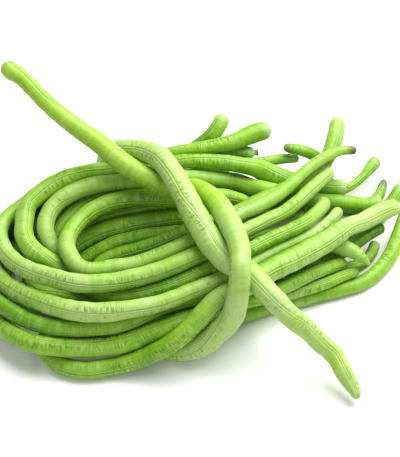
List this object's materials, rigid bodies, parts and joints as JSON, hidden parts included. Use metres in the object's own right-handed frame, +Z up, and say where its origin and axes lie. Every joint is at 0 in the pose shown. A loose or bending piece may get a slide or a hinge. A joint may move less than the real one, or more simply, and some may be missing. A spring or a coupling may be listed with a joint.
{
  "type": "yardlong bean bunch",
  "caption": "Bunch of long green bean pods, folded over and laid together, tied round the middle with a thicker pod in a simple knot.",
  "frame": {"origin": "centre of the bunch's outline on the surface that it lies on", "axes": "+Z up from the surface, +X from the folds towards the free ends, +Y towards the back of the bunch"},
  "size_m": [0.2384, 0.181, 0.0762],
  "materials": {
    "pod_skin": "satin fresh pod skin, yellow-green with fine cross wrinkles and a seam line, paler at the stem end and brown at the tip",
    "tie_skin": "satin fresh pod skin, lighter yellow-green with a double seam line"
  },
  "bodies": {
    "root": {"bean_01": "pod_skin", "bean_02": "pod_skin", "bean_03": "pod_skin", "bean_04": "pod_skin", "bean_05": "pod_skin", "bean_06": "pod_skin", "bean_07": "pod_skin", "bean_08": "pod_skin", "bean_09": "pod_skin", "bean_10": "pod_skin", "bean_11": "pod_skin", "bean_12": "pod_skin", "tie_bean": "tie_skin"}
  },
  "joints": []
}
